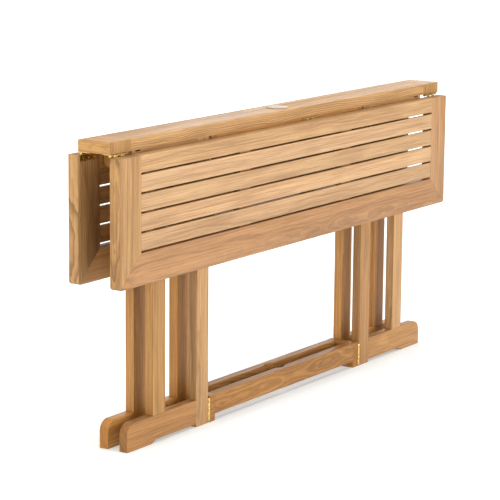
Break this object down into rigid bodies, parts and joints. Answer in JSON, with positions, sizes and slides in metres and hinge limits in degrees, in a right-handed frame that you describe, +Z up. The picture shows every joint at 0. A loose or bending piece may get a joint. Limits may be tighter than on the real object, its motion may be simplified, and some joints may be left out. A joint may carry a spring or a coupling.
{
  "type": "drop-leaf gateleg garden table",
  "caption": "Slim folded teak garden table: a fixed centre board, hanging slatted leaves on brass hinges, and gates that fold flat between them.",
  "frame": {"origin": "on the floor, at the middle of the table's footprint", "axes": "+X along the table, from the near end to the far end; +Y across it, from the front leaf to the rear leaf; +Z up"},
  "size_m": [1.5, 0.146, 0.737],
  "materials": {
    "teak_top": "sanded, unvarnished, lightly oiled grain, pale",
    "teak_cap": "sanded, unvarnished, lightly oiled grain, pale, grain across the table",
    "teak_leaf_frame": "sanded, unvarnished, lightly oiled grain",
    "teak_slat": "sanded, unvarnished, lightly oiled grain",
    "teak_frame": "sanded, unvarnished, lightly oiled grain, warm",
    "teak_gate": "sanded, unvarnished, lightly oiled grain, warm orange tan",
    "brass_hinge": "satin brass, slightly dulled",
    "hinge_pin": "drawn brass rod",
    "plug": "cream moulded plastic"
  },
  "bodies": {
    "root": {"centre_board": "teak_top", "end_cap_near": "teak_cap", "end_cap_far": "teak_cap", "pole_hole_plug": "plug", "bearer_rail_front": "teak_frame", "bearer_rail_rear": "teak_frame", "bearer_block_near": "teak_frame", "bearer_block_far": "teak_frame", "stretcher_rail_front": "teak_frame", "stretcher_rail_rear": "teak_frame", "stretcher_block_near": "teak_frame", "stretcher_block_far": "teak_frame", "leaf_hinge_fixed_plates": "brass_hinge", "leaf_hinge_pins": "hinge_pin", "gate_hinge_fixed_plates": "brass_hinge", "gate_hinge_pins": "hinge_pin", "fixed_screws": "brass_hinge"},
    "leaf_front": {"front_leaf_stile_near": "teak_leaf_frame", "front_leaf_stile_far": "teak_leaf_frame", "front_leaf_outer_rail": "teak_leaf_frame", "front_leaf_hinge_rail": "teak_leaf_frame", "front_leaf_slat_1": "teak_slat", "front_leaf_slat_2": "teak_slat", "front_leaf_slat_3": "teak_slat", "front_leaf_slat_4": "teak_slat", "front_leaf_batten_near": "teak_slat", "front_leaf_batten_far": "teak_slat", "front_leaf_hinge_plates": "brass_hinge"},
    "leaf_rear": {"rear_leaf_stile_near": "teak_leaf_frame", "rear_leaf_stile_far": "teak_leaf_frame", "rear_leaf_outer_rail": "teak_leaf_frame", "rear_leaf_hinge_rail": "teak_leaf_frame", "rear_leaf_slat_1": "teak_slat", "rear_leaf_slat_2": "teak_slat", "rear_leaf_slat_3": "teak_slat", "rear_leaf_slat_4": "teak_slat", "rear_leaf_batten_near": "teak_slat", "rear_leaf_batten_far": "teak_slat", "rear_leaf_hinge_plates": "brass_hinge"},
    "gate_near_front": {"gate_near_front_hinge_post": "teak_gate", "gate_near_front_outer_post": "teak_gate", "gate_near_front_top_rail": "teak_gate", "gate_near_front_foot": "teak_gate", "gate_near_front_hinge_plates": "brass_hinge"},
    "gate_near_rear": {"gate_near_rear_hinge_post": "teak_gate", "gate_near_rear_outer_post": "teak_gate", "gate_near_rear_top_rail": "teak_gate", "gate_near_rear_foot": "teak_gate", "gate_near_rear_hinge_plates": "brass_hinge"},
    "gate_far_front": {"gate_far_front_hinge_post": "teak_gate", "gate_far_front_outer_post": "teak_gate", "gate_far_front_top_rail": "teak_gate", "gate_far_front_foot": "teak_gate", "gate_far_front_hinge_plates": "brass_hinge"},
    "gate_far_rear": {"gate_far_rear_hinge_post": "teak_gate", "gate_far_rear_outer_post": "teak_gate", "gate_far_rear_top_rail": "teak_gate", "gate_far_rear_foot": "teak_gate", "gate_far_rear_hinge_plates": "brass_hinge"}
  },
  "joints": [
    {"name": "leaf_front_hinge", "type": "hinge", "parent": "root", "child": "leaf_front", "pos_m": [0, -0.0415, 0.7035], "axis": [-1, 0, 0], "range_deg": [0, 90]},
    {"name": "leaf_rear_hinge", "type": "hinge", "parent": "root", "child": "leaf_rear", "pos_m": [0, 0.0415, 0.7035], "axis": [1, 0, 0], "range_deg": [0, 90]},
    {"name": "gate_near_front_hinge", "type": "hinge", "parent": "root", "child": "gate_near_front", "pos_m": [-0.35275, -0.041, 0], "axis": [0, 0, 1], "range_deg": [0, 0.6]},
    {"name": "gate_near_rear_hinge", "type": "hinge", "parent": "root", "child": "gate_near_rear", "pos_m": [-0.35275, 0.041, 0], "axis": [0, 0, -1], "range_deg": [0, 0.6]},
    {"name": "gate_far_front_hinge", "type": "hinge", "parent": "root", "child": "gate_far_front", "pos_m": [0.35275, -0.041, 0], "axis": [0, 0, -1], "range_deg": [0, 0.6]},
    {"name": "gate_far_rear_hinge", "type": "hinge", "parent": "root", "child": "gate_far_rear", "pos_m": [0.35275, 0.041, 0], "axis": [0, 0, 1], "range_deg": [0, 0.6]}
  ]
}
